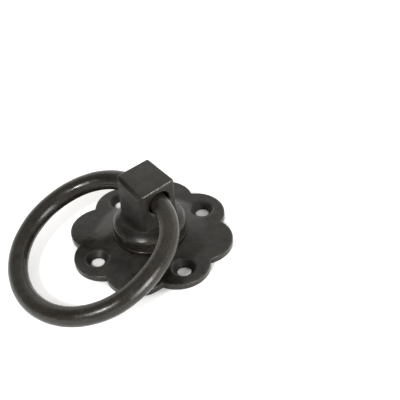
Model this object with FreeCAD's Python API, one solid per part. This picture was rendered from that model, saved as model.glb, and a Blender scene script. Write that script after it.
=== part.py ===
import FreeCAD, Part
import math
import os

from FreeCAD import Vector

# Ring handle for a gate latch, lying on its back as it would on a bench.
# Millimetres. The origin is the centre of the rose's back face and +Z runs out along the spindle.
# The ring's hinge runs along X, and the ring lies towards -Y with its far side on the back plane.

# Rose: a scalloped plate with a coved centre
LOBE_COUNT = 8
ROSE_TIP_RADIUS = 38.2
LOBE_ARC_RADIUS = 14.4
ROSE_TURN_DEG = -7.3
RIM_THICKNESS = 3.2
RIM_TOP_ROUND = 0.5
RIM_BACK_ROUND = 0.3
CUSP_ROUND = 0.8
FOOT_RADIUS = 26.8
FOOT_RISE_DEG = 3.0
COVE_RADIUS = 11.6
SEAT_HEIGHT = 5.4
SEAT_MARGIN = 0.15

# Back of the rose: a recess for the washer and the clip
SEAT_WALL = 2.3
RECESS_MARGIN = 0.9
RECESS_FLARE = 6.5

# Screw holes, countersunk, on every second lobe
SCREW_CIRCLE_RADIUS = 28.3
SCREW_BORE_RADIUS = 3.2
COUNTERSINK_RADIUS = 5.4
COUNTERSINK_LAND = 1.0

# Boss: a turned shank and collar below a squared head
SHANK_RADIUS = 8.0
SHANK_END_HEIGHT = 0.3
SHANK_END_CHAMFER = 0.25
COLLAR_RADIUS = 16.8
COLLAR_TOP_HEIGHT = 15.0
COLLAR_NOSE_HEIGHT = 10.95
COLLAR_NOSE_ROUND = 2.2
BEAD_ROUND = 0.6
BEAD_PROUD = 0.25
LEDGE_RADIUS = 13.0
HEAD_ROUND_RADIUS = 12.6
HEAD_ACROSS_FLATS = 19.7
HEAD_TOP_HEIGHT = 35.4
HEAD_FRONT_CHAMFER = 1.5
HEAD_BACK_CHAMFER = 0.7
SOCKET_ACROSS_FLATS = 8.2
SOCKET_ROOF = 4.4

# Ring: a round rod closed on itself, hinged in the head's cross hole
RING_MEAN_RADIUS = 34.6
ROD_RADIUS = 4.45
HOLE_ROOF = 2.35
HOLE_EDGE_CHAMFER = 0.9

# Washer and clip behind the rose
WASHER_THICKNESS = 0.9
WASHER_RADIUS = 13.0
CLIP_THICKNESS = 1.0
CLIP_WIDTH = 2.2
CLIP_GAP_DEG = 46.0
CLIP_LUG_RADIUS = 1.9
CLIP_LUG_HOLE_RADIUS = 0.8
GROOVE_DEPTH = 0.6

# Clearances
SHANK_CLEARANCE = 0.05
WASHER_CLEARANCE = 0.1
END_PLAY = 0.05
GROOVE_PLAY = 0.02
RING_PLAY = 0.45
RING_FRONT_PLAY = 0.15

# Worked out from the sizes above
UP = Vector(0, 0, 1)
ALONG_HINGE = Vector(1, 0, 0)
ORIGIN = Vector(0, 0, 0)
FULL_TURN = 360.0
CUT_OVERRUN = 1.0
LOBE_PITCH_DEG = FULL_TURN / LOBE_COUNT
SCREW_COUNT = LOBE_COUNT // 2
LOBE_CENTRE_RADIUS = ROSE_TIP_RADIUS - LOBE_ARC_RADIUS
BEAD_CENTRE_RADIUS = COLLAR_RADIUS + BEAD_PROUD - BEAD_ROUND
SEAT_RADIUS = COLLAR_RADIUS + BEAD_PROUD + SEAT_MARGIN
RECESS_HEIGHT = SEAT_HEIGHT - SEAT_WALL
RECESS_ROOF_RADIUS = WASHER_RADIUS + RECESS_MARGIN
COLLAR_UNDERSIDE = SEAT_HEIGHT + END_PLAY
WASHER_TOP = RECESS_HEIGHT - END_PLAY
GROOVE_TOP = WASHER_TOP - WASHER_THICKNESS - END_PLAY
GROOVE_BOTTOM = GROOVE_TOP - CLIP_THICKNESS - 2 * GROOVE_PLAY
GROOVE_RADIUS = SHANK_RADIUS - GROOVE_DEPTH
HALF_FLATS = HEAD_ACROSS_FLATS / 2
HALF_SOCKET = SOCKET_ACROSS_FLATS / 2

# The rod curves inside the straight cross hole: where the chamfers begin, its inner side stands furthest from
# the rod's middle, so the hole is as wide as that span and some play. The ring's weight draws it to the front.
HALF_HOLE = HALF_FLATS - HOLE_EDGE_CHAMFER
ROD_REACH = RING_MEAN_RADIUS - math.sqrt((RING_MEAN_RADIUS - ROD_RADIUS) ** 2 - HALF_HOLE ** 2)
RING_HOLE_RADIUS = (ROD_REACH + ROD_RADIUS) / 2 + RING_PLAY
PIVOT_HEIGHT = HEAD_TOP_HEIGHT - HOLE_ROOF - RING_HOLE_RADIUS
RING_OFFSET = ROD_REACH - RING_HOLE_RADIUS + RING_FRONT_PLAY
RING_CENTRE_DISTANCE = RING_MEAN_RADIUS - RING_OFFSET
RING_TILT = math.asin((PIVOT_HEIGHT - ROD_RADIUS) / (RING_CENTRE_DISTANCE + RING_MEAN_RADIUS))
SOCKET_TOP = PIVOT_HEIGHT - RING_HOLE_RADIUS - SOCKET_ROOF


def polar(radius, degrees, z=0.0):
    """A point at a radius and an angle about the spindle."""
    angle = math.radians(degrees)
    return Vector(radius * math.cos(angle), radius * math.sin(angle), z)


def section(radius, z):
    """A point of a turned profile."""
    return Vector(radius, 0, z)


def line(start, end):
    return Part.LineSegment(start, end).toShape()


def arc(start, middle, end):
    return Part.Arc(start, middle, end).toShape()


def on_round(centre, radius, degrees):
    """The point of a profile's rounding at an angle from the outward direction."""
    angle = math.radians(degrees)
    return centre + section(radius * math.cos(angle), radius * math.sin(angle))


def rounding(centre, radius, first_deg, last_deg):
    """Start, middle and end of a profile's rounding."""
    return [on_round(centre, radius, a) for a in (first_deg, (first_deg + last_deg) / 2, last_deg)]


def tangent_deg(point, centre, radius, side):
    """The angle at which a straight line from a point meets a rounding smoothly."""
    reach = point - centre
    towards = math.atan2(reach.z, reach.x)
    return math.degrees(towards + side * math.acos(radius / reach.Length))


def turned(edges):
    """A solid of revolution about the spindle from a closed profile."""
    return Part.Face(Part.Wire(edges)).revolve(ORIGIN, UP, FULL_TURN)


def turned_polygon(points):
    return turned([line(points[i - 1], points[i]) for i in range(len(points))])


def scalloped_plate():
    """The rose's flat plate: equal lobes that meet at cusps, with its edges rounded."""
    half_pitch = math.radians(LOBE_PITCH_DEG / 2)
    cusp_half_chord = LOBE_CENTRE_RADIUS * math.sin(half_pitch)
    cusp_depth = math.sqrt(LOBE_ARC_RADIUS ** 2 - cusp_half_chord ** 2)
    cusp_radius = LOBE_CENTRE_RADIUS * math.cos(half_pitch) + cusp_depth
    edges = []
    for i in range(LOBE_COUNT):
        middle = ROSE_TURN_DEG + i * LOBE_PITCH_DEG
        start = polar(cusp_radius, middle - LOBE_PITCH_DEG / 2)
        end = polar(cusp_radius, middle + LOBE_PITCH_DEG / 2)
        edges.append(arc(start, polar(ROSE_TIP_RADIUS, middle), end))
    plate = Part.Face(Part.Wire(edges)).extrude(UP * RIM_THICKNESS)
    upright = [edge for edge in plate.Edges if edge.BoundBox.ZLength > RIM_THICKNESS / 2]
    plate = plate.makeFillet(CUSP_ROUND, upright)
    top = [edge for edge in plate.Edges if edge.BoundBox.ZMin > RIM_THICKNESS / 2]
    plate = plate.makeFillet(RIM_TOP_ROUND, top)
    back = [edge for edge in plate.Edges if edge.BoundBox.ZMax < RIM_BACK_ROUND / 2]
    return plate.makeFillet(RIM_BACK_ROUND, back)


def coved_centre():
    """The raised middle: a hollow curve at the foot, then a straight slope up to the collar's seat."""
    foot_deg = -90 - FOOT_RISE_DEG
    foot = section(FOOT_RADIUS, RIM_THICKNESS)
    seat_edge = section(SEAT_RADIUS, SEAT_HEIGHT)
    centre = foot - on_round(ORIGIN, COVE_RADIUS, foot_deg)
    curve = rounding(centre, COVE_RADIUS, foot_deg, tangent_deg(seat_edge, centre, COVE_RADIUS, 1))
    root = section(FOOT_RADIUS, RIM_THICKNESS / 2)
    top = section(0, SEAT_HEIGHT)
    bottom = section(0, RIM_THICKNESS / 2)
    edges = [line(root, foot), arc(*curve), line(curve[2], seat_edge)]
    edges += [line(seat_edge, top), line(top, bottom), line(bottom, root)]
    return turned(edges)


def back_recess():
    """The hollow behind the rose, with sloping sides, and the bore for the shank above it."""
    bore = SHANK_RADIUS + SHANK_CLEARANCE
    slope = RECESS_FLARE / RECESS_HEIGHT
    return turned_polygon([
        section(0, -CUT_OVERRUN),
        section(RECESS_ROOF_RADIUS + RECESS_FLARE + slope * CUT_OVERRUN, -CUT_OVERRUN),
        section(RECESS_ROOF_RADIUS, RECESS_HEIGHT),
        section(bore, RECESS_HEIGHT),
        section(bore, SEAT_HEIGHT + CUT_OVERRUN),
        section(0, SEAT_HEIGHT + CUT_OVERRUN),
    ])


def screw_hole():
    """A countersunk hole, whose cone runs on upwards where it cuts into the foot of the cove."""
    slope = (COUNTERSINK_RADIUS - SCREW_BORE_RADIUS) / (RIM_THICKNESS - COUNTERSINK_LAND)
    cone_top = SEAT_HEIGHT + CUT_OVERRUN
    return turned_polygon([
        section(0, -CUT_OVERRUN),
        section(SCREW_BORE_RADIUS, -CUT_OVERRUN),
        section(SCREW_BORE_RADIUS, COUNTERSINK_LAND),
        section(COUNTERSINK_RADIUS + slope * (cone_top - RIM_THICKNESS), cone_top),
        section(0, cone_top),
    ])


def rose_plate():
    rose = scalloped_plate().fuse(coved_centre()).removeSplitter()
    rose = rose.cut(back_recess())
    for i in range(SCREW_COUNT):
        hole = screw_hole()
        hole.translate(polar(SCREW_CIRCLE_RADIUS, ROSE_TURN_DEG + i * FULL_TURN / SCREW_COUNT))
        rose = rose.cut(hole)
    return rose


def boss_blank():
    """The turned form: shank with its clip groove, collar with a bead and sloping shoulder, round head."""
    ledge = section(LEDGE_RADIUS, COLLAR_TOP_HEIGHT)
    bead_centre = section(BEAD_CENTRE_RADIUS, COLLAR_UNDERSIDE + BEAD_ROUND)
    bead_end_deg = math.degrees(math.acos((COLLAR_RADIUS - BEAD_CENTRE_RADIUS) / BEAD_ROUND))
    bead = rounding(bead_centre, BEAD_ROUND, -90, bead_end_deg)
    nose_centre = section(COLLAR_RADIUS - COLLAR_NOSE_ROUND, COLLAR_NOSE_HEIGHT)
    nose = rounding(nose_centre, COLLAR_NOSE_ROUND, 0, tangent_deg(ledge, nose_centre, COLLAR_NOSE_ROUND, -1))
    below = [
        section(0, SHANK_END_HEIGHT),
        section(SHANK_RADIUS - SHANK_END_CHAMFER, SHANK_END_HEIGHT),
        section(SHANK_RADIUS, SHANK_END_HEIGHT + SHANK_END_CHAMFER),
        section(SHANK_RADIUS, GROOVE_BOTTOM),
        section(GROOVE_RADIUS, GROOVE_BOTTOM),
        section(GROOVE_RADIUS, GROOVE_TOP),
        section(SHANK_RADIUS, GROOVE_TOP),
        section(SHANK_RADIUS, COLLAR_UNDERSIDE),
        bead[0],
    ]
    above = [
        nose[2],
        ledge,
        section(HEAD_ROUND_RADIUS, COLLAR_TOP_HEIGHT),
        section(HEAD_ROUND_RADIUS, HEAD_TOP_HEIGHT),
        section(0, HEAD_TOP_HEIGHT),
        below[0],
    ]
    edges = [line(below[i], below[i + 1]) for i in range(len(below) - 1)]
    edges += [arc(*bead), line(bead[2], nose[0]), arc(*nose)]
    edges += [line(above[i], above[i + 1]) for i in range(len(above) - 1)]
    return turned(edges)


def flats_cutter():
    """What is milled away round the head to leave four flats, with the round left at the corners."""
    height = HEAD_TOP_HEIGHT - COLLAR_TOP_HEIGHT + CUT_OVERRUN
    start = Vector(0, 0, COLLAR_TOP_HEIGHT)
    outside = Part.makeCylinder(COLLAR_RADIUS + HEAD_ROUND_RADIUS, height, start)
    corner = Vector(-HALF_FLATS, -HALF_FLATS, COLLAR_TOP_HEIGHT)
    return outside.cut(Part.makeBox(HEAD_ACROSS_FLATS, HEAD_ACROSS_FLATS, height, corner))


def top_chamfer_cutter(side, chamfer):
    """The strip taken off the head's top edge on a face without the cross hole."""
    points = [
        Vector(-COLLAR_RADIUS, side * (HALF_FLATS - 2 * chamfer), HEAD_TOP_HEIGHT + chamfer),
        Vector(-COLLAR_RADIUS, side * (HALF_FLATS + chamfer), HEAD_TOP_HEIGHT - 2 * chamfer),
        Vector(-COLLAR_RADIUS, side * (HALF_FLATS + chamfer), HEAD_TOP_HEIGHT + chamfer),
    ]
    return Part.Face(Part.makePolygon(points + points[:1])).extrude(ALONG_HINGE * 2 * COLLAR_RADIUS)


def cross_hole():
    """The hole for the rod, with a small chamfer at each mouth."""
    reach = HALF_FLATS + CUT_OVERRUN
    hole = Part.makeCylinder(RING_HOLE_RADIUS, 2 * reach, Vector(-reach, 0, PIVOT_HEIGHT), ALONG_HINGE)
    for side in (-1, 1):
        mouth = Vector(side * HALF_HOLE, 0, PIVOT_HEIGHT)
        wide = RING_HOLE_RADIUS + HOLE_EDGE_CHAMFER
        cone = Part.makeCone(RING_HOLE_RADIUS, wide, HOLE_EDGE_CHAMFER, mouth, ALONG_HINGE * side)
        hole = hole.fuse(cone)
    return hole


def turning_boss():
    boss = boss_blank().cut(flats_cutter())
    boss = boss.cut(top_chamfer_cutter(-1, HEAD_FRONT_CHAMFER))
    boss = boss.cut(top_chamfer_cutter(1, HEAD_BACK_CHAMFER))
    boss = boss.cut(cross_hole())
    corner = Vector(-HALF_SOCKET, -HALF_SOCKET, SHANK_END_HEIGHT - CUT_OVERRUN)
    depth = SOCKET_TOP - SHANK_END_HEIGHT + CUT_OVERRUN
    return boss.cut(Part.makeBox(SOCKET_ACROSS_FLATS, SOCKET_ACROSS_FLATS, depth, corner))


def ring_handle():
    away = Vector(0, -math.cos(RING_TILT), -math.sin(RING_TILT))
    normal = Vector(0, -math.sin(RING_TILT), math.cos(RING_TILT))
    centre = Vector(0, 0, PIVOT_HEIGHT) + away * RING_CENTRE_DISTANCE
    return Part.makeTorus(RING_MEAN_RADIUS, ROD_RADIUS, centre, normal)


def thrust_washer():
    start = Vector(0, 0, WASHER_TOP - WASHER_THICKNESS)
    washer = Part.makeCylinder(WASHER_RADIUS, WASHER_THICKNESS, start)
    return washer.cut(Part.makeCylinder(SHANK_RADIUS + WASHER_CLEARANCE, WASHER_THICKNESS, start))


def retaining_clip():
    """An open spring clip with an eye at each end for pliers."""
    base = GROOVE_BOTTOM + GROOVE_PLAY
    start = Vector(0, 0, base)
    inner = GROOVE_RADIUS + GROOVE_PLAY
    outer = inner + CLIP_WIDTH
    clip = Part.makeCylinder(outer, CLIP_THICKNESS, start, UP, FULL_TURN - CLIP_GAP_DEG)
    clip.rotate(ORIGIN, UP, CLIP_GAP_DEG / 2)
    eyes = [polar(outer, side * CLIP_GAP_DEG / 2, base) for side in (-1, 1)]
    for eye in eyes:
        clip = clip.fuse(Part.makeCylinder(CLIP_LUG_RADIUS, CLIP_THICKNESS, eye))
    for eye in eyes:
        clip = clip.cut(Part.makeCylinder(CLIP_LUG_HOLE_RADIUS, CLIP_THICKNESS, eye))
    return clip.cut(Part.makeCylinder(inner, CLIP_THICKNESS, start)).removeSplitter()


PARTS = {
    "rose_plate": rose_plate,
    "turning_boss": turning_boss,
    "ring_handle": ring_handle,
    "thrust_washer": thrust_washer,
    "retaining_clip": retaining_clip,
}

os.makedirs("parts", exist_ok=True)
print("hinge height", round(PIVOT_HEIGHT, 4), "ring tilt", round(math.degrees(RING_TILT), 3))
for node, build in PARTS.items():
    shape = build()
    print(node, len(shape.Solids), shape.isValid(), round(shape.Volume, 1))
    shape.exportStep("parts/" + node + ".step")
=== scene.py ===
import math

import bmesh
import bpy
from mathutils import Matrix, Vector, noise
from mathutils.geometry import delaunay_2d_cdt


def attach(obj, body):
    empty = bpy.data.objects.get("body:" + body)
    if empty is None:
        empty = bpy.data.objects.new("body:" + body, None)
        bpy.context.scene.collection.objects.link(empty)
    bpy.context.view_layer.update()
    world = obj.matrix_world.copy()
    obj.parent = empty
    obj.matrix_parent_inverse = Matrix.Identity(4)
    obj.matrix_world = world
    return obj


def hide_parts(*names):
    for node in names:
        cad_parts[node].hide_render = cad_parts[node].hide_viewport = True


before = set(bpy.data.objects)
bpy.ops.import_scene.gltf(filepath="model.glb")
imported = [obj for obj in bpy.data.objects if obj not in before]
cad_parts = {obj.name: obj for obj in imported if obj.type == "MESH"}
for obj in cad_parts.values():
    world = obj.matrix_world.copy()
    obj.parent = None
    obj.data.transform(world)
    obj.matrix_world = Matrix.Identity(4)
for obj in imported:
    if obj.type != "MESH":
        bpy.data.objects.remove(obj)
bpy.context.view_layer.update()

MM = 0.001

# Camera: where the row's origin lies in the view, in metres to the right, down and ahead of the lens
CAMERA_AZIMUTH_DEG = 51.83
CAMERA_ELEVATION_DEG = 40.12
CAMERA_ROLL_DEG = -4.08
ORIGIN_IN_VIEW = Vector((-0.0225, 0.01758, 0.41774))
SENSOR_WIDTH_MM = 36.0
FOCAL_LENGTH_MM = 81.0

# The part's sizes in millimetres, as in its solids
LOBE_COUNT = 8
ROSE_TIP_RADIUS = 38.2
LOBE_ARC_RADIUS = 14.4
ROSE_TURN = math.radians(-7.3)
RIM_THICKNESS = 3.2
RIM_TOP_ROUND = 0.5
RIM_BACK_ROUND = 0.3
FOOT_RADIUS = 26.8
FOOT_RISE = math.radians(3.0)
COVE_RADIUS = 11.6
SEAT_RADIUS = 17.2
SEAT_HEIGHT = 5.4
RECESS_HEIGHT = 3.1
RECESS_ROOF_RADIUS = 13.9
RECESS_MOUTH_RADIUS = 20.4
BORE_RADIUS = 8.05
SCREW_CIRCLE_RADIUS = 28.3
SCREW_BORE_RADIUS = 3.2
COUNTERSINK_LAND = 1.0
SHANK_RADIUS = 8.0
SHANK_END_HEIGHT = 0.3
SHANK_END_CHAMFER = 0.25
GROOVE_RADIUS = 7.4
GROOVE_BOTTOM = 1.06
GROOVE_TOP = 2.1
COLLAR_RADIUS = 16.8
COLLAR_UNDERSIDE = 5.45
COLLAR_NOSE_HEIGHT = 10.95
COLLAR_NOSE_ROUND = 2.2
BEAD_ROUND = 0.6
BEAD_CENTRE_RADIUS = 16.45
LEDGE_RADIUS = 13.0
LEDGE_HEIGHT = 15.0
HEAD_ROUND_RADIUS = 12.6
HALF_FLATS = 9.85
HEAD_TOP_HEIGHT = 35.4
HALF_SOCKET = 4.1
SOCKET_TOP = 17.491
PIVOT_HEIGHT = 27.4705
RING_HOLE_RADIUS = 5.5795
HOLE_EDGE_CHAMFER = 0.9
RING_MEAN_RADIUS = 34.6
ROD_RADIUS = 4.45
RING_OFFSET = 0.3795

LOBE_PITCH = math.tau / LOBE_COUNT
LOBE_CENTRE_RADIUS = ROSE_TIP_RADIUS - LOBE_ARC_RADIUS
COUNTERSINK_RADIUS = SCREW_BORE_RADIUS + RIM_THICKNESS - COUNTERSINK_LAND
SCREW_TURNS = [ROSE_TURN + i * 2 * LOBE_PITCH for i in range(LOBE_COUNT // 2)]
SCREW_CENTRES = [Vector((math.cos(a), math.sin(a))) * SCREW_CIRCLE_RADIUS for a in SCREW_TURNS]

# Meshing
WITHIN_EDGES = 1  # delaunay_2d_cdt: triangles inside the given edges only
SAME_POINT_GAP = 1e-5
HOLE_SHARE = 0.999  # a triangle whose middle lies nearer than this share of a hole's radius is in the hole
SHARP_ANGLE = math.radians(32)

scene = bpy.context.scene
scene.view_settings.view_transform = "Standard"


class Shell:
    """Points in millimetres and faces, gathered patch by patch."""

    def __init__(self):
        self.points = []
        self.faces = []

    def add(self, points):
        start = len(self.points)
        self.points.extend(Vector(p) for p in points)
        return list(range(start, len(self.points)))

    def bridge(self, low, high, left_out=()):
        """Quads between two closed loops of as many points, but for those that end at a point left out."""
        for i in range(len(low)):
            if i not in left_out:
                self.faces.append((low[i - 1], low[i], high[i], high[i - 1]))

    def stack(self, loops, left_out=()):
        for low, high in zip(loops, loops[1:]):
            self.bridge(low, high, left_out)

    def fill(self, loops, to_flat, spare=(), to_solid=None, keep=None):
        """Triangles that join loops of points already there through spare points laid out flat."""
        ids = [i for loop in loops for i in loop]
        edges = []
        start = 0
        for loop in loops:
            count = len(loop)
            edges += [(start + i, start + (i + 1) % count) for i in range(count)]
            start += count
        flat = [Vector(to_flat(self.points[i])) for i in ids] + [Vector(p) for p in spare]
        ids += self.add([to_solid(p) for p in spare])
        verts, _, tris, origins, _, _ = delaunay_2d_cdt(flat, edges, [], WITHIN_EDGES, SAME_POINT_GAP)
        for tri in tris:
            middle = (verts[tri[0]] + verts[tri[1]] + verts[tri[2]]) / 3
            if keep is None or keep(middle):
                self.faces.append(tuple(ids[origins[k][0]] for k in tri))

    def build(self, name, wear_and_painted_light, shape=None, dull=None):
        """The finished object, in the row frame, with wear and painted light, and dullness, at each point.
        """
        points = [shape(p) for p in self.points] if shape else self.points
        mesh = bpy.data.meshes.new(name)
        mesh.from_pydata([p * MM for p in points], [], self.faces)
        work = bmesh.new()
        work.from_mesh(mesh)
        bmesh.ops.recalc_face_normals(work, faces=work.faces)
        work.to_mesh(mesh)
        work.free()
        mesh.shade_smooth()
        mesh.set_sharp_from_angle(angle=SHARP_ANGLE)
        for label, level in (("wear_and_painted_light", wear_and_painted_light), ("dull", dull)):
            values = mesh.attributes.new(label, "FLOAT", "POINT").data
            for value, point in zip(values, points):
                value.value = level(point) if level else 0.0
        piece = bpy.data.objects.new(name, mesh)
        scene.collection.objects.link(piece)
        return piece


def turns(count):
    """Angles spaced evenly round a circle."""
    return [math.tau * i / count for i in range(count)]


def round_steps(count):
    """Angles spaced evenly over a quarter turn, with both ends."""
    return [math.pi / 2 * i / count for i in range(count + 1)]


def on_arc(centre, radius, angle):
    return centre[0] + radius * math.cos(angle), centre[1] + radius * math.sin(angle)


def polar(radius, angle):
    return radius * math.cos(angle), radius * math.sin(angle)


def circle(radius, count, z, centre=(0.0, 0.0)):
    return [(*on_arc(centre, radius, a), z) for a in turns(count)]


def plan(point):
    return point.xy


def tangent_angle(point, centre, radius, side):
    """The angle at which a straight line from a point meets a round smoothly, in a turned profile."""
    reach = Vector(point) - Vector(centre)
    return math.atan2(reach.y, reach.x) + side * math.acos(radius / reach.length)


def clamp(value, low=0.0, high=1.0):
    return min(high, max(low, value))


def soft_min(a, b, ease):
    return (a + b - math.sqrt((a - b) ** 2 + ease * ease)) / 2


def soft_max(a, b, ease):
    return (a + b + math.sqrt((a - b) ** 2 + ease * ease)) / 2


def bump(distance, width):
    """1 at an edge, falling to 0 about a width away."""
    return math.exp(-(distance / width) ** 2)


# Rose
RIM_POINTS = 640
BORE_POINTS = 96
SCREW_POINTS = 72
RECESS_MOUTH_POINTS = 180
RECESS_ROOF_POINTS = 120
CUSP_EASE = 0.45
COUNTERSINK_EASE = 0.3
TOP_INSET = 1.5  # the rim's own rows of faces reach in to here on the top
BACK_INSET = 1.4  # and to here on the back
SCREW_ZONE = 7.1  # rings of points round a screw hole reach out to here
SCREW_RINGS = 19
SEAT_RINGS = [10.0, 12.0, 14.0, 15.5, 16.4, 17.0]
COVE_RINGS = [SEAT_RADIUS + 0.4 * i for i in range(24)] + [FOOT_RADIUS, 27.1]
OUTER_RINGS = [27.6 + 0.75 * i for i in range(13)]
COVE_RING_POINTS = 360
RING_POINTS_PER_MM = 8
WAVY_RIM_RADIUS = 34.0  # the casting sways sideways beyond this radius
RIM_WEAR = 0.44  # wear runs from 0 to 1
COUNTERSINK_WEAR = 0.35

COVE_CENTRE = (
    FOOT_RADIUS + COVE_RADIUS * math.sin(FOOT_RISE),
    RIM_THICKNESS + COVE_RADIUS * math.cos(FOOT_RISE),
)
COVE_END_ANGLE = tangent_angle((SEAT_RADIUS, SEAT_HEIGHT), COVE_CENTRE, COVE_RADIUS, 1)
COVE_END_RADIUS, COVE_END_HEIGHT = on_arc(COVE_CENTRE, COVE_RADIUS, COVE_END_ANGLE)


def rim_radius(angle, inset):
    """Distance out to the scalloped edge, or to a line set in from it."""
    turn = (angle - ROSE_TURN) % LOBE_PITCH
    reach = LOBE_ARC_RADIUS - inset
    lobes = []
    for off in (turn, LOBE_PITCH - turn):
        across = LOBE_CENTRE_RADIUS * math.sin(off)
        along = LOBE_CENTRE_RADIUS * math.cos(off)
        lobes.append(along + math.sqrt(max(0.0, reach * reach - across * across)))
    return soft_max(lobes[0], lobes[1], CUSP_EASE)


def rim_loop(inset, z):
    return [(*polar(rim_radius(a, inset), a), z) for a in turns(RIM_POINTS)]


def rim_rows():
    """The rim's outline from the back round to the top, as insets and heights."""
    rows = [(BACK_INSET, 0.0), (0.6, 0.0)]
    for t in round_steps(3):
        rows.append((RIM_BACK_ROUND * (1 - math.sin(t)), RIM_BACK_ROUND * (1 - math.cos(t))))
    rows += [(0.0, z) for z in (0.9, 1.5, 2.1)]
    for t in round_steps(6):
        rows.append((RIM_TOP_ROUND * (1 - math.cos(t)), RIM_THICKNESS - RIM_TOP_ROUND * (1 - math.sin(t))))
    return rows + [(inset, RIM_THICKNESS) for inset in (0.65, 1.0, TOP_INSET)]


def cove_height(radius):
    """The rose's top along a radius: flat rim, hollow foot, straight slope and flat seat."""
    if radius > FOOT_RADIUS:
        return RIM_THICKNESS
    if radius > COVE_END_RADIUS:
        return COVE_CENTRE[1] - math.sqrt(COVE_RADIUS ** 2 - (radius - COVE_CENTRE[0]) ** 2)
    along = (COVE_END_RADIUS - radius) / (COVE_END_RADIUS - SEAT_RADIUS)
    return min(SEAT_HEIGHT, COVE_END_HEIGHT + (SEAT_HEIGHT - COVE_END_HEIGHT) * along)


def screw_distance(point):
    return min((Vector(point[:2]) - centre).length for centre in SCREW_CENTRES)


def rose_top(point):
    """A point of the plan carried up to the top, or into a countersink."""
    radius = math.hypot(point[0], point[1])
    cone = COUNTERSINK_LAND + screw_distance(point) - SCREW_BORE_RADIUS
    return point[0], point[1], soft_min(cove_height(radius), cone, COUNTERSINK_EASE)


def in_rose(point, inset):
    """Whether a point of the plan is within the rim and outside every hole."""
    if point.length >= rim_radius(math.atan2(point.y, point.x), inset):
        return False
    return point.length > BORE_RADIUS * HOLE_SHARE and screw_distance(point) > SCREW_BORE_RADIUS * HOLE_SHARE


def rose_top_points():
    """Rings of points for the top: round the spindle, close together up the cove, and round each screw."""
    points = []
    for radius in SEAT_RINGS + COVE_RINGS + OUTER_RINGS:
        count = COVE_RING_POINTS if radius in COVE_RINGS else int(radius * RING_POINTS_PER_MM)
        for point in circle(radius, count, 0.0):
            angle = math.atan2(point[1], point[0])
            if radius < rim_radius(angle, TOP_INSET + 0.5) and screw_distance(point) > SCREW_ZONE + 0.25:
                points.append(point[:2])
    for centre in SCREW_CENTRES:
        for step in range(1, SCREW_RINGS + 1):
            radius = SCREW_BORE_RADIUS + (SCREW_ZONE - SCREW_BORE_RADIUS) * step / SCREW_RINGS
            points += [p[:2] for p in circle(radius, SCREW_POINTS, 0.0, centre)]
    return points


def make_rose():
    shell = Shell()
    rim = [shell.add(rim_loop(*row)) for row in rim_rows()]
    shell.stack(rim)
    bore = [shell.add(circle(BORE_RADIUS, BORE_POINTS, z)) for z in (RECESS_HEIGHT, SEAT_HEIGHT)]
    shell.stack(bore)
    screws = []
    for centre in SCREW_CENTRES:
        hole = circle(SCREW_BORE_RADIUS, SCREW_POINTS, 0.0, centre)
        low = shell.add(hole)
        high = shell.add([rose_top(p) for p in hole])
        shell.bridge(low, high)
        screws.append((low, high))
    top = [rim[-1], bore[1]] + [high for _, high in screws]
    shell.fill(top, plan, rose_top_points(), rose_top, lambda p: in_rose(p, TOP_INSET))
    mouth = shell.add(circle(RECESS_MOUTH_RADIUS, RECESS_MOUTH_POINTS, 0.0))
    roof = shell.add(circle(RECESS_ROOF_RADIUS, RECESS_ROOF_POINTS, RECESS_HEIGHT))
    back = [rim[0], mouth, roof, bore[0]] + [low for low, _ in screws]
    shell.fill(back, plan, keep=lambda p: in_rose(p, BACK_INSET))
    return shell.build("rose_casting", rose_wear, rose_uneven, rose_dull)


def rose_wear(point):
    radius = math.hypot(point.x, point.y)
    inset = rim_radius(math.atan2(point.y, point.x), 0.0) - radius
    rim = bump(inset, 0.8) * (0.35 + 0.65 * bump(point.z - RIM_THICKNESS, 0.6))
    on_top = point.z > RIM_THICKNESS - 1.0
    mouth = bump(screw_distance(point) - COUNTERSINK_RADIUS - 0.05, 0.4) if on_top else 0.0
    return max(RIM_WEAR * rim, COUNTERSINK_WEAR * mouth)


def rose_dull(point):
    """The countersinks are rougher than the rest."""
    return 1.0 if screw_distance(point) < COUNTERSINK_RADIUS - 0.1 else 0.0


def rose_uneven(point):
    """The casting's slight waviness, kept off the seat and the back."""
    radius = math.hypot(point.x, point.y)
    if point.z < 0.05 or radius < SEAT_RADIUS:
        return point
    lift = 0.05 * noise.noise(point * 0.11) + 0.025 * noise.noise(point * 0.37)
    fade = min(1.0, point.z / RIM_THICKNESS)
    sway = 0.05 * noise.noise(point * 0.16 + Vector((40, 0, 0)))
    grow = 1 + sway / radius if radius > WAVY_RIM_RADIUS else 1.0
    return Vector((point.x * grow, point.y * grow, point.z + lift * fade))


# Boss, with a hand-filed head: two flats stand a little out of square, the corners differ, the top is
# out of level, a strip is filed askew along its front edge, and the ring has worn the hole's mouth
EDGE_ROUND = 0.28
ROOT_ROUND = 0.3
CORNER_EASE = 0.06
FILED_SKEW = math.radians(-4.0)
FLATS = [  # which way each flat faces round the spindle, and how far out it lies
    (0.0, HALF_FLATS),
    (math.pi / 2 + FILED_SKEW, HALF_FLATS - 0.5),
    (math.pi, HALF_FLATS),
    (1.5 * math.pi + FILED_SKEW, HALF_FLATS - 0.4),
]
PIERCED_SIDES = {0: 1.0, 2: -1.0}  # the flats that the cross hole goes through, and their side along X
CORNER_RADII = [HEAD_ROUND_RADIUS + more for more in (0.2, 0.8, -0.3, 0.2)]
CREASES = [  # the angles at which each flat begins and ends
    (
        facing - math.acos(half_width / CORNER_RADII[i - 1]),
        facing + math.acos(half_width / CORNER_RADII[i]),
    )
    for i, (facing, half_width) in enumerate(FLATS)
]
FLAT_SHARES = [0.0, 0.003, 0.01, 0.025, 0.05, 0.09] + [0.15 + 0.7 * i / 12 for i in range(13)]
FLAT_SHARES += [0.91, 0.95, 0.975, 0.99, 0.997]
CORNER_SHARES = [0.0, 0.03, 0.09, 0.2, 0.4, 0.6, 0.8, 0.91, 0.97]
BEAD_STEPS = 8
NOSE_STEPS = 10
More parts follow.
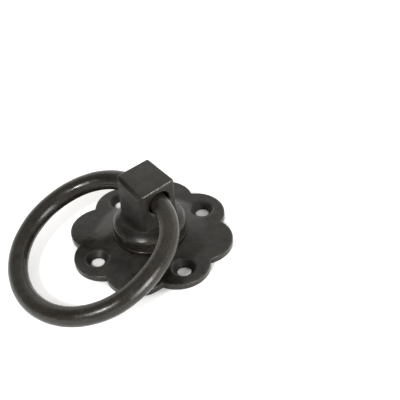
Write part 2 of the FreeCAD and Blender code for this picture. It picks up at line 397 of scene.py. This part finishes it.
SIDE_SHARES = (0.06, 0.2, 0.4, 0.6, 0.8)
SLOPE_SHARES = (0.1, 0.2, 0.3, 0.4, 0.5, 0.6, 0.7, 0.8, 0.9, 0.96, 1.0)
SLOPE_BULGE = 0.24  # the slope above the collar's nose is this much fuller than a straight one
SLOPE_BULGE_BIAS = 0.55  # and fullest near its foot
SLOPE_BULGE_WAY = (0.6, 0.8)
HEAD_ROOT = LEDGE_HEIGHT + ROOT_ROUND
WALL_STEPS = 26
FLAT_GRID = (0.8, 0.98)  # spacing of the points across and up a pierced flat
FLAT_GRID_REACH = 7.2
CAP_GRID = 0.55
CAP_ROWS = 20
CAP_INSET = EDGE_ROUND + 0.18  # the rounded top edge's rows of faces reach in to here
FRONT_STRIP_START = 8.05  # distance from the spindle at x = 0
FRONT_STRIP_SKEW = 0.1
FRONT_STRIP_FALL = 1.05
FRONT_STRIP_TWIST = 0.09
BACK_STRIP_START = 8.75
BACK_STRIP_SKEW = -0.06
TOP_LIFT = 0.2
TOP_LEAN_X = -0.011
TOP_LEAN_Y = 0.02
TOP_TWIST = 0.0025
TOP_REACH = 9.0  # the lean and the twist grow no further beyond this distance
TOP_ZONE = 33.0  # points above this height belong to the top and its edges
HOLE_POINTS = 96
MOUTH_RADIUS = RING_HOLE_RADIUS + 0.8
MOUTH_DROP = 0.7
# Depth into the worn mouth, in edge chamfers, and the share of the way to the hole's own size there
MOUTH_LIP = [(0.06, 0.14), (0.16, 0.28), (0.35, 0.5), (0.6, 0.72), (0.8, 0.86), (1.0, 0.96), (1.25, 1.0)]
# The collar's nose is made paler along its highlight line: painted highlight as well as wear
NOSE_HIGHLIGHT_RADIUS = 16.4
NOSE_HIGHLIGHT_HEIGHT = 12.2
NOSE_WEAR_AND_HIGHLIGHT = 0.35
BEAD_WEAR = 0.06
COLLAR_SIDE_WEAR = 0.12
# A pale line round the head's foot is a painted highlight
LEDGE_PAINTED_HIGHLIGHT = 0.22
CREASE_WEAR = 0.14
# The pierced flats' top edges are made bright: painted highlight as well as rubbing
PIERCED_RIM_WEAR_AND_HIGHLIGHT = 1.0
PLAIN_RIM_WEAR = 0.12
MOUTH_WEAR = 0.5
DULL_SLOPE_FOOT = 12.7
SLOPE_DULLNESS = 0.35
SIDE_DULLNESS = 1.0
TOP_DULLNESS = 0.4
STRIP_DULLNESS = -0.3  # smoother than the rest


def boss_angles():
    """Angles round the spindle, close together where a flat meets a round corner, and each flat's own."""
    angles = []
    spans = []
    for flat in range(4):
        low, high = CREASES[flat]
        following = CREASES[(flat + 1) % 4][0] + (math.tau if flat == 3 else 0.0)
        spans.append(list(range(len(angles), len(angles) + len(FLAT_SHARES) + 1)))
        angles += [low + (high - low) * share for share in FLAT_SHARES]
        angles += [high + (following - high) * share for share in CORNER_SHARES]
    return angles, spans


BOSS_ANGLES, FLAT_SPANS = boss_angles()


def socket_radius(angle):
    return HALF_SOCKET / max(abs(math.cos(angle)), abs(math.sin(angle)))


def head_radius(angle):
    """Distance out to the nearest flat or round corner."""
    flats = min(half / max(0.01, math.cos(angle - facing)) for facing, half in FLATS)
    corner = max(range(4), key=lambda i: math.cos(angle - math.pi / 2 * i - math.pi / 4))
    return soft_min(flats, CORNER_RADII[corner], CORNER_EASE)


def head_inset(x, y):
    """How far in from the head's side a point of the plan lies, along its own radius."""
    return head_radius(math.atan2(y, x)) - math.hypot(x, y)


def head_outline(inset):
    """Points of the plan round the head, set in from its side along their own radius."""
    return [polar(head_radius(a) - inset, a) for a in BOSS_ANGLES]


def front_line(x):
    """Where the filed strip along the head's front top edge begins: it runs askew."""
    return FRONT_STRIP_START + FRONT_STRIP_SKEW * x


def back_line(x):
    return BACK_STRIP_START + BACK_STRIP_SKEW * x


def head_top(point):
    """The height of the head's top at a point of the plan."""
    x = clamp(point[0], -TOP_REACH, TOP_REACH)
    y = clamp(point[1], -TOP_REACH, TOP_REACH)
    front = max(0.0, -point[1] - front_line(x)) * (FRONT_STRIP_FALL + FRONT_STRIP_TWIST * x)
    back = max(0.0, point[1] - back_line(x))
    level = HEAD_TOP_HEIGHT + TOP_LIFT + TOP_LEAN_X * x + TOP_LEAN_Y * y + TOP_TWIST * x * y
    return level - front - back


def on_top(points, drop=0.0):
    return [(x, y, head_top((x, y)) - drop) for x, y in points]


def from_mouth(y, z):
    """Distance from the middle of the worn mouth, in a pierced flat."""
    return math.hypot(y, z - PIVOT_HEIGHT + MOUTH_DROP)


def hole_loop(x, radius, drop=0.0):
    return [(x, *on_arc((0.0, PIVOT_HEIGHT - drop), radius, a)) for a in turns(HOLE_POINTS)]


def boss_profile():
    """The turned outline from the shank's end round the collar and up to the ledge, as radii and heights."""
    profile = [
        (SHANK_RADIUS - SHANK_END_CHAMFER, SHANK_END_HEIGHT),
        (SHANK_RADIUS, SHANK_END_HEIGHT + SHANK_END_CHAMFER),
        (SHANK_RADIUS, GROOVE_BOTTOM),
        (GROOVE_RADIUS, GROOVE_BOTTOM),
        (GROOVE_RADIUS, GROOVE_TOP),
        (SHANK_RADIUS, GROOVE_TOP),
        (SHANK_RADIUS, COLLAR_UNDERSIDE),
        (BEAD_CENTRE_RADIUS - 0.4, COLLAR_UNDERSIDE),
    ]
    bead = (BEAD_CENTRE_RADIUS, COLLAR_UNDERSIDE + BEAD_ROUND)
    bead_end = math.acos((COLLAR_RADIUS - BEAD_CENTRE_RADIUS) / BEAD_ROUND)
    for i in range(BEAD_STEPS + 1):
        turn = -math.pi / 2 + (bead_end + math.pi / 2) * i / BEAD_STEPS
        profile.append(on_arc(bead, BEAD_ROUND, turn))
    side_foot = profile[-1][1]
    for share in SIDE_SHARES:
        profile.append((COLLAR_RADIUS, side_foot + (COLLAR_NOSE_HEIGHT - side_foot) * share))
    nose = (COLLAR_RADIUS - COLLAR_NOSE_ROUND, COLLAR_NOSE_HEIGHT)
    ledge = (LEDGE_RADIUS, LEDGE_HEIGHT)
    nose_end = tangent_angle(ledge, nose, COLLAR_NOSE_ROUND, -1)
    profile += [on_arc(nose, COLLAR_NOSE_ROUND, nose_end * i / NOSE_STEPS) for i in range(NOSE_STEPS + 1)]
    shoulder = profile[-1]
    for share in SLOPE_SHARES:
        bulge = SLOPE_BULGE * math.sin(math.pi * share ** SLOPE_BULGE_BIAS)
        profile.append(tuple(
            start + (end - start) * share + bulge * way
            for start, end, way in zip(shoulder, ledge, SLOPE_BULGE_WAY)
        ))
    return profile


def pierce(shell, walls, flat):
    """One of the head's two pierced flats, from its border in to the worn mouth of the hole."""
    x = PIERCED_SIDES[flat] * HALF_FLATS
    span = FLAT_SPANS[flat]
    mouth = shell.add(hole_loop(x, MOUTH_RADIUS, MOUTH_DROP))
    border = [walls[0][i] for i in span] + [wall[span[-1]] for wall in walls[1:-1]]
    border += [walls[-1][i] for i in reversed(span)] + [wall[span[0]] for wall in reversed(walls[1:-1])]
    spare = []
    for row in range(1, 20):
        for column in range(-9, 10):
            y = column * FLAT_GRID[0]
            z = HEAD_ROOT + row * FLAT_GRID[1]
            clear = from_mouth(y, z) > MOUTH_RADIUS + 0.6
            if clear and abs(y) < FLAT_GRID_REACH and z < HEAD_TOP_HEIGHT - 1.2:
                spare.append((y, z))
    for gap in (0.08, 0.3):
        spare += [p[1:] for p in hole_loop(x, MOUTH_RADIUS + gap, MOUTH_DROP)]
    shell.fill(
        [border, mouth], lambda p: p.yz, spare, lambda p: (x, *p),
        lambda p: from_mouth(p.x, p.y) > MOUTH_RADIUS * HOLE_SHARE,
    )
    return mouth


def cross_hole_runs():
    """The cross hole from end to end, as places along X, radii and drops."""
    runs = []
    for depth, share in MOUTH_LIP:
        worn = 1 - share
        radius = RING_HOLE_RADIUS + (MOUTH_RADIUS - RING_HOLE_RADIUS) * worn
        runs.append((HALF_FLATS - HOLE_EDGE_CHAMFER * depth, radius, MOUTH_DROP * worn))
    runs += [(x, RING_HOLE_RADIUS, 0.0) for x in (7, 5, 3, 1)]
    return runs + [(-x, radius, drop) for x, radius, drop in reversed(runs)]


def cap_points():
    """Points of the plan for the head's top, close together where a filed strip begins."""
    points = []
    for column in range(-19, 20):
        x = column * CAP_GRID
        front = -front_line(x)
        back = back_line(x)
        rows = [front + gap for gap in (-1.0, -0.5, -0.08, 0.08, 0.5)] + [back - 0.08, back + 0.08]
        rows += [front + 1.2 + (back - front - 1.9) * i / CAP_ROWS for i in range(CAP_ROWS + 1)]
        points += [(x, y) for y in rows if head_inset(x, y) > CAP_INSET + 0.25]
    return points


def make_boss():
    shell = Shell()
    turned = [shell.add([(*polar(radius, a), z) for a in BOSS_ANGLES]) for radius, z in boss_profile()]
    for t in round_steps(4):
        z = LEDGE_HEIGHT + ROOT_ROUND * (1 - math.cos(t))
        turned.append(shell.add([(x, y, z) for x, y in head_outline(-ROOT_ROUND * (1 - math.sin(t)))]))
    shell.stack(turned)

    # Walls of the head: plain strips, but for the two pierced flats
    rim = on_top(head_outline(0.0), EDGE_ROUND)
    walls = [turned[-1]]
    for i in range(1, WALL_STEPS + 1):
        walls.append(shell.add([(x, y, HEAD_ROOT + (z - HEAD_ROOT) * i / WALL_STEPS) for x, y, z in rim]))
    mouths = [pierce(shell, walls, flat) for flat in PIERCED_SIDES]
    shell.stack(walls, {i for flat in PIERCED_SIDES for i in FLAT_SPANS[flat][1:]})

    tube = [shell.add(hole_loop(*run)) for run in cross_hole_runs()]
    shell.stack([mouths[0]] + tube + [mouths[1]])

    # Top of the head
    caps = [walls[-1]]
    for t in round_steps(5)[1:]:
        outline = head_outline(EDGE_ROUND * (1 - math.cos(t)))
        caps.append(shell.add(on_top(outline, EDGE_ROUND * (1 - math.sin(t)))))
    caps.append(shell.add(on_top(head_outline(CAP_INSET))))
    shell.stack(caps)
    shell.fill([caps[-1]], plan, cap_points(), lambda p: (*p, head_top(p)))

    # Square socket up the shank
    socket = [turned[0]]
    for z in (SHANK_END_HEIGHT, 6.0, 12.0, SOCKET_TOP):
        socket.append(shell.add([(*polar(socket_radius(a), a), z) for a in BOSS_ANGLES]))
    shell.stack(socket)
    shell.fill([socket[-1]], plan, [(0.0, 0.0)], lambda p: (*p, SOCKET_TOP))
    return shell.build("boss_forging", boss_wear_and_painted_light, boss_uneven, boss_dull)


# Real wear, and painted highlights on the collar's nose, round the head's foot and along the pierced flats'
# top edges
def boss_wear_and_painted_light(point):
    radius = math.hypot(point.x, point.y)
    # painted highlight: a pale line round the head's foot
    foot = bump(radius - LEDGE_RADIUS, 0.3) * bump(point.z - LEDGE_HEIGHT, 0.25)
    if point.z < LEDGE_HEIGHT - 0.01:
        # the collar's nose is paler at its highlight line: painted highlight as well as wear
        nose = bump(radius - NOSE_HIGHLIGHT_RADIUS, 0.9) * bump(point.z - NOSE_HIGHLIGHT_HEIGHT, 0.9)
        bead = bump(point.z - COLLAR_UNDERSIDE - 0.8, 0.5) * bump(radius - COLLAR_RADIUS, 0.5)
        side = COLLAR_SIDE_WEAR if radius > COLLAR_RADIUS - 0.1 else 0.0
        return max(NOSE_WEAR_AND_HIGHLIGHT * nose, BEAD_WEAR * bead, side, LEDGE_PAINTED_HIGHLIGHT * foot)
    angle = math.atan2(point.y, point.x)
    nearest = min(abs(math.remainder(angle - crease, math.tau)) for pair in CREASES for crease in pair)
    inset = head_inset(point.x, point.y)
    edge = bump(nearest * radius, 0.3) * bump(inset, 0.4)
    rim = bump(inset - 0.1, 0.3) * bump(point.z - head_top(point) + 0.1, 0.3)
    # the pierced flats' top edges get a painted highlight besides their rubbing; the other top edges only
    # wear
    rubbed_and_painted_light = PIERCED_RIM_WEAR_AND_HIGHLIGHT if abs(point.x) > HALF_FLATS - 0.6 else PLAIN_RIM_WEAR
    mouth = bump(from_mouth(point.y, point.z) - MOUTH_RADIUS + 0.3, 0.4)
    hole = mouth * bump(abs(point.x) - HALF_FLATS + 0.2, 0.5)
    return max(CREASE_WEAR * edge, rubbed_and_painted_light * rim, MOUTH_WEAR * hole, LEDGE_PAINTED_HIGHLIGHT * foot)


def boss_dull(point):
    """The head's filed sides are duller than its top, and so is the slope above the collar's nose."""
    if point.z < LEDGE_HEIGHT:
        on_collar = math.hypot(point.x, point.y) > HEAD_ROUND_RADIUS
        return SLOPE_DULLNESS * clamp((point.z - DULL_SLOPE_FOOT) / 0.6) if on_collar else 0.0
    if math.hypot(point.y, point.z - PIVOT_HEIGHT) < RING_HOLE_RADIUS + 0.2:
        return 0.0
    if head_inset(point.x, point.y) < 0.15 and point.z < head_top(point) - 0.1:
        return SIDE_DULLNESS
    return TOP_DULLNESS if -point.y < front_line(point.x) else STRIP_DULLNESS


def boss_uneven(point):
    """Filed faces aren't quite flat. The shank, the seat and the hole keep their sizes."""
    foot = LEDGE_HEIGHT + 0.5
    if point.z < foot or from_mouth(point.y, point.z) < MOUTH_RADIUS + 0.05:
        return point
    fade = min(1.0, (point.z - foot) / 2)
    push = min(0.0, 0.06 * noise.noise(point * 0.13) - 0.02)
    out = Vector((point.x, point.y, 0)).normalized() if point.xy.length > 1 else Vector((0, 0, 0))
    lift = 0.0
    if point.z > TOP_ZONE:
        lift = 0.04 * noise.noise(point * 0.15 + Vector((9, 3, 0))) - 0.02
    return point + out * push * fade + Vector((0, 0, lift))


# Ring, bent by hand: straighter through the boss than a true circle and fuller beside it
RING_STEPS = 420
ROD_POINTS = 56
SHOULDERS = {1: 1.9, -1: 0.8}
HINGE_LIFT = 0.5
HINGE_TURN = 1.5 * math.pi  # where the rod passes through the boss
HELD_TURN = 0.16  # the rod keeps its size this far to either side of there
FREE_TURN = 0.26  # and takes its full dents this much further on
SHOULDER_WEAR_AND_LIGHT_TURN = 0.8  # the angle from the hinge, seen from the ring's middle, of the shoulder that is scuffed and also painted paler as the side the lamps light more
WHOLE_RING_WEAR = 0.05
FAR_END_WEAR = 0.2
FAR_END_REACH = 20.0  # where the far end's wear begins, and over what length it grows to its full
# painted light: the ring's right shoulder is made paler where the lamps light it more, on top of its
# scuffing
SHOULDER_WEAR_AND_LIGHT = 0.19


def from_hinge(turn):
    return math.remainder(turn - HINGE_TURN, math.tau)


def ring_radius(turn):
    """Distance from the ring's middle to the rod's, at a turn from +X away from the boss."""
    beside = from_hinge(turn)
    if abs(beside) > math.pi / 2:
        return RING_MEAN_RADIUS
    return RING_MEAN_RADIUS + SHOULDERS[1 if beside > 0 else -1] * math.sin(2 * beside) ** 2


def make_ring():
    shell = Shell()
    distance = RING_MEAN_RADIUS - RING_OFFSET
    tilt = math.asin((PIVOT_HEIGHT - ROD_RADIUS) / (distance + RING_MEAN_RADIUS))
    away = Vector((0, -math.cos(tilt), -math.sin(tilt)))
    normal = Vector((0, -math.sin(tilt), math.cos(tilt)))
    centre = Vector((0, 0, PIVOT_HEIGHT)) + away * distance
    loops = []
    for turn in turns(RING_STEPS):
        out = Vector((1, 0, 0)) * math.cos(turn) + away * math.sin(turn)
        beside = abs(from_hinge(turn))
        lift = HINGE_LIFT * max(0.0, math.cos(beside)) ** 2
        middle = centre + out * ring_radius(turn) + normal * lift
        free = clamp((beside - HELD_TURN) / FREE_TURN)
        points = []
        for swing in turns(ROD_POINTS):
            side = out * math.cos(swing) + normal * math.sin(swing)
            place = middle + side * ROD_RADIUS
            dent = 0.10 * noise.noise(place * 0.10) + 0.05 * noise.noise(place * 0.33 + Vector((7, 0, 0)))
            points.append(place + side * (min(0.0, dent - 0.02) * free))
        loops.append(shell.add(points))
    shell.stack(loops + loops[:1])

    def wear_and_painted_light(point):
        """Most on the outside of the far end, and on one shoulder, which is partly scuffed and partly
        painted paler as its lit side.
        """
        along = (point - centre).dot(away)
        far = max(0.0, (along - FAR_END_REACH) / FAR_END_REACH)
        outer = max(0.0, ((point - centre).length - RING_MEAN_RADIUS) / ROD_RADIUS)
        # the shoulder's paler band is partly scuffing and partly painted light for the side the lamps light
        # more
        shoulder = bump(math.atan2(point.x, -along) - SHOULDER_WEAR_AND_LIGHT_TURN, 0.5)
        return WHOLE_RING_WEAR + FAR_END_WEAR * far * outer + SHOULDER_WEAR_AND_LIGHT * shoulder

    return shell.build("ring_forging", wear_and_painted_light)


# Materials
RUST = (0.018, 0.012, 0.007, 1)
# Paler iron for wear, also used for painted highlights and a painted lit side
RUBBED_IRON_AND_PAINTED_LIGHT = (0.075, 0.068, 0.058, 1)
# Paler still: bare iron, which mostly shows as the painted highlight along the pierced flats' top edges
BARE_IRON_AND_PAINTED_HIGHLIGHT = (0.36, 0.35, 0.32, 1)
DARK_STEEL = (0.30, 0.29, 0.27, 1)
BRIGHT_STEEL = (0.52, 0.51, 0.49, 1)


class Graph:
    """Shader nodes, made and linked a few at a time."""

    def __init__(self, tree):
        self.nodes = tree.nodes
        self.links = tree.links

    def connect(self, node, inputs):
        """Sockets are linked to a node's inputs, and numbers and colours set on them."""
        for name, value in inputs.items():
            if isinstance(value, bpy.types.NodeSocket):
                self.links.new(value, node.inputs[name])
            else:
                node.inputs[name].default_value = value

    def place(self, kind):
        return self.nodes.new("ShaderNodeTexCoord").outputs[kind]

    def attribute(self, name):
        node = self.nodes.new("ShaderNodeAttribute")
        node.attribute_name = name
        return node.outputs["Fac"]

    def clouds(self, inputs):
        node = self.nodes.new("ShaderNodeTexNoise")
        self.connect(node, inputs)
        return node.outputs["Fac"]

    def spread(self, value, low, high, to_low, to_high, interpolation="LINEAR"):
        """A value carried over from one range to another."""
        node = self.nodes.new("ShaderNodeMapRange")
        node.interpolation_type = interpolation
        limits = {"From Min": low, "From Max": high, "To Min": to_low, "To Max": to_high}
        self.connect(node, {"Value": value, **limits})
        return node.outputs["Result"]

    def sums(self, operation, a, b):
        node = self.nodes.new("ShaderNodeMath")
        node.operation = operation
        self.connect(node, {0: a, 1: b})
        return node.outputs["Value"]

    def measure(self, operation, *vectors):
        """A number taken from one vector or two."""
        node = self.nodes.new("ShaderNodeVectorMath")
        node.operation = operation
        self.connect(node, dict(enumerate(vectors)))
        return node.outputs["Value"]

    def blend(self, amount, a, b):
        node = self.nodes.new("ShaderNodeMix")
        node.data_type = "RGBA"
        self.connect(node, {"Factor": amount, "A": a, "B": b})
        return node.outputs["Result"]

    def relief(self, height, depth_mm):
        node = self.nodes.new("ShaderNodeBump")
        self.connect(node, {"Strength": 1.0, "Distance": depth_mm * MM, "Height": height})
        return node.outputs["Normal"]


def new_material(name):
    material = bpy.data.materials.new(name)
    material.use_nodes = True
    return material, Graph(material.node_tree), material.node_tree.nodes["Principled BSDF"]


def iron(name, seed, dark, pale, rough, grain_mm, mottle_mm, streaks, gloss, scuffs):
    """Black waxed iron: mottled brown-black, paler and smoother where handling has worn the edges, and paler
    too where highlights and a lit side are painted in along with the wear.
    """
    material, graph, shader = new_material(name)
    place = graph.place("Object")

    def texture(size_mm, detail, roughness, offset, stretch=(1, 1, 1)):
        shift = graph.nodes.new("ShaderNodeMapping")
        graph.connect(shift, {
            "Vector": place,
            "Location": (seed + offset, seed * 0.37, offset * 1.7),
            "Scale": tuple(1000.0 / size_mm * s for s in stretch),
        })
        settings = {"Scale": 1.0, "Detail": detail, "Roughness": roughness}
        return graph.clouds({"Vector": shift.outputs["Vector"], **settings})

    def weighted(a, share_a, b, share_b):
        return graph.sums("ADD", graph.sums("MULTIPLY", a, share_a), graph.sums("MULTIPLY", b, share_b))

    mottle = texture(mottle_mm, 4.0, 0.6, 0.0)
    flecks = texture(1.1, 3.0, 0.65, 11.0)
    grains = texture(0.45, 2.0, 0.6, 23.0)
    brushed = texture(3.0, 3.0, 0.6, 31.0, streaks)
    # This attribute brings in real wear and painted highlights and painted light alike; all make the iron
    # paler
    rubbed_and_painted_light = graph.sums("MULTIPLY", graph.attribute("wear_and_painted_light"), graph.spread(flecks, 0.35, 0.65, 0.35, 1.0))

    patches = weighted(mottle, 0.6, brushed, 0.4)
    colour = graph.blend(graph.spread(patches, 0.42, 0.6, 0.0, 1.0), (*dark, 1), (*pale, 1))
    colour = graph.blend(graph.spread(flecks, 0.58, 0.74, 0.0, 0.4), colour, RUST)
    colour = graph.blend(rubbed_and_painted_light, colour, RUBBED_IRON_AND_PAINTED_LIGHT)
    colour = graph.blend(graph.spread(rubbed_and_painted_light, 0.45, 0.85, 0.0, 0.9), colour, BARE_IRON_AND_PAINTED_HIGHLIGHT)

    roughness = graph.spread(mottle, 0.36, 0.66, rough + 0.07, rough - 0.06)
    roughness = graph.sums("ADD", roughness, graph.spread(brushed, 0.3, 0.7, -0.05, 0.05))
    roughness = graph.sums("ADD", roughness, graph.spread(flecks, 0.35, 0.65, -scuffs, scuffs))
    roughness = graph.sums("ADD", roughness, graph.sums("MULTIPLY", graph.attribute("dull"), 0.26))
    roughness = graph.sums("SUBTRACT", roughness, graph.sums("MULTIPLY", rubbed_and_painted_light, 0.07))

    height = graph.sums("ADD", weighted(flecks, 0.18, grains, 0.04), brushed)
    graph.connect(shader, {
        "Base Color": colour,
        "Metallic": 0.0,
        "Roughness": roughness,
        "Specular IOR Level": gloss,
        "Normal": graph.relief(height, grain_mm),
    })
    return material


def steel(name):
    """Bright steel with turning marks and a little dulling, for the washer and the clip."""
    material, graph, shader = new_material(name)
    place = graph.place("Object")
    marks = graph.nodes.new("ShaderNodeTexWave")
    marks.wave_type = "RINGS"
    marks.rings_direction = "Z"
    graph.connect(marks, {"Vector": place, "Scale": 900.0, "Distortion": 1.5})
    mottle = graph.clouds({"Vector": place, "Scale": 260.0, "Detail": 4.0})
    tone = graph.nodes.new("ShaderNodeValToRGB")
    for element, position, colour in zip(tone.color_ramp.elements, (0.35, 0.7), (DARK_STEEL, BRIGHT_STEEL)):
        element.position = position
        element.color = colour
    graph.connect(tone, {"Fac": mottle})
    graph.connect(shader, {
        "Base Color": tone.outputs["Color"],
        "Metallic": 1.0,
        "Roughness": graph.spread(mottle, 0.0, 1.0, 0.26, 0.44),
        "Normal": graph.relief(marks.outputs["Fac"], 0.01),
    })
    return material


# Studio, in metres
CLIP_START = 0.01
CLIP_END = 20.0
LIGHT_AIM = Vector((0, -0.02, 0.01))
HALF_FLOOR = 3.0
FLOOR_LEVEL = -0.0002  # just under the rose's back
FLOOR_GREY = 0.93
FLOOR_GLOW = 0.35
SKY_COLOUR = (1.0, 0.985, 0.95, 1)


def direction(azimuth_deg, elevation_deg):
    """From the part towards a place given as the views are."""
    azimuth = math.radians(azimuth_deg)
    elevation = math.radians(elevation_deg)
    level = math.cos(elevation)
    return Vector((math.sin(azimuth) * level, -math.cos(azimuth) * level, math.sin(elevation)))


def make_camera():
    azimuth = math.radians(CAMERA_AZIMUTH_DEG)
    elevation = math.radians(CAMERA_ELEVATION_DEG)
    roll = math.radians(CAMERA_ROLL_DEG)
    level = Vector((math.cos(azimuth), math.sin(azimuth), 0))
    flat_ahead = Vector((-math.sin(azimuth), math.cos(azimuth), 0))
    ahead = flat_ahead * math.cos(elevation) + Vector((0, 0, -math.sin(elevation)))
    drop = ahead.cross(level)
    right = level * math.cos(roll) - drop * math.sin(roll)
    down = level * math.sin(roll) + drop * math.cos(roll)
    place = -(right * ORIGIN_IN_VIEW.x + down * ORIGIN_IN_VIEW.y + ahead * ORIGIN_IN_VIEW.z)
    data = bpy.data.cameras.new("camera")
    data.sensor_width = SENSOR_WIDTH_MM
    data.lens = FOCAL_LENGTH_MM
    data.clip_start = CLIP_START
    data.clip_end = CLIP_END
    camera = bpy.data.objects.new("camera", data)
    scene.collection.objects.link(camera)
    turn = Matrix((right, -down, -ahead)).transposed().to_4x4()
    camera.matrix_world = Matrix.Translation(place) @ turn
    scene.camera = camera


def make_softbox(name, azimuth_deg, elevation_deg, distance, width, height, watts):
    back = direction(azimuth_deg, elevation_deg)
    data = bpy.data.lights.new(name, "AREA")
    data.shape = "RECTANGLE"
    data.size = width
    data.size_y = height
    data.energy = watts
    lamp = bpy.data.objects.new(name, data)
    scene.collection.objects.link(lamp)
    lamp.location = back * distance + LIGHT_AIM
    lamp.rotation_euler = back.to_track_quat("Z", "Y").to_euler()


def make_floor():
    mesh = bpy.data.meshes.new("floor")
    corners = [(x * HALF_FLOOR, y * HALF_FLOOR, 0) for x, y in ((-1, -1), (1, -1), (1, 1), (-1, 1))]
    mesh.from_pydata(corners, [], [(0, 1, 2, 3)])
    floor = bpy.data.objects.new("floor", mesh)
    scene.collection.objects.link(floor)
    floor.location.z = FLOOR_LEVEL
    material, graph, shader = new_material("floor")
    # The glow that keeps the floor white ends under the rose, so that its screw holes stay in shade
    away = graph.measure("LENGTH", graph.place("Object"))
    dark_radius = SCREW_CIRCLE_RADIUS + SCREW_BORE_RADIUS
    graph.connect(shader, {
        "Base Color": (FLOOR_GREY, FLOOR_GREY, FLOOR_GREY, 1),
        "Roughness": 0.9,
        "Specular IOR Level": 0.1,
        "Emission Color": (1, 1, 1, 1),
        "Emission Strength": graph.spread(away, dark_radius * MM, ROSE_TIP_RADIUS * MM, 0.0, FLOOR_GLOW),
    })
    mesh.materials.append(material)


def make_world():
    """A white studio with a dimmer roof, brightest behind the part and dim to its front left."""
    world = bpy.data.worlds.new("studio")
    world.use_nodes = True
    graph = Graph(world.node_tree)
    sky = graph.place("Generated")

    def towards(azimuth_deg, elevation_deg, low, high, to_low, to_high):
        """A level that follows how near a direction of the sky comes to the one given."""
        near = graph.measure("DOT_PRODUCT", sky, direction(azimuth_deg, elevation_deg))
        return graph.spread(near, low, high, to_low, to_high, "SMOOTHSTEP")

    bright_back = towards(-125, 0, -1, 1, 0.5, 1.55)
    dim_front = towards(-44, 30, 0.65, 1.0, 0.0, 0.75)
    roof = towards(0, 90, 0.55, 0.75, 1.0, 0.55)
    strength = graph.sums("MULTIPLY", graph.sums("SUBTRACT", bright_back, dim_front), roof)
    graph.connect(graph.nodes["Background"], {"Color": SKY_COLOUR, "Strength": strength})
    scene.world = world


PIECES = [
    (make_rose, "rose_plate", "rose", "rose_iron", iron(
        "rose_iron", seed=3.0, dark=(0.0034, 0.0026, 0.0016), pale=(0.0130, 0.0108, 0.0076), rough=0.28,
        grain_mm=0.09, mottle_mm=7.0, streaks=(0.8, 0.8, 0.8), gloss=0.34, scuffs=0.0,
    )),
    (make_boss, "turning_boss", "boss", "boss_iron", iron(
        "boss_iron", seed=8.0, dark=(0.0036, 0.0027, 0.0016), pale=(0.0135, 0.0112, 0.0080), rough=0.24,
        grain_mm=0.10, mottle_mm=6.0, streaks=(0.25, 0.25, 4), gloss=0.34, scuffs=0.0,
    )),
    (make_ring, "ring_handle", "ring", "ring_iron", iron(
        "ring_iron", seed=15.0, dark=(0.0070, 0.0058, 0.0041), pale=(0.0146, 0.0123, 0.0090), rough=0.24,
        grain_mm=0.04, mottle_mm=5.0, streaks=(0.6, 0.6, 0.6), gloss=0.37, scuffs=0.035,
    )),
]
for make, node, body, slot, material in PIECES:
    piece = make()
    piece.data.materials.append(material)
    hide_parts(node)
    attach(piece, body)
fittings = steel("fittings_steel")
for name in ("thrust_washer", "retaining_clip"):
    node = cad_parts[name]
    node.data.materials.clear()
    node.data.materials.append(fittings)

make_camera()
make_floor()
make_world()
make_softbox("key", azimuth_deg=24, elevation_deg=40, distance=0.9, width=0.13, height=0.13, watts=6.0)
make_softbox("fill", azimuth_deg=95, elevation_deg=15, distance=1.0, width=0.32, height=0.55, watts=8.5)
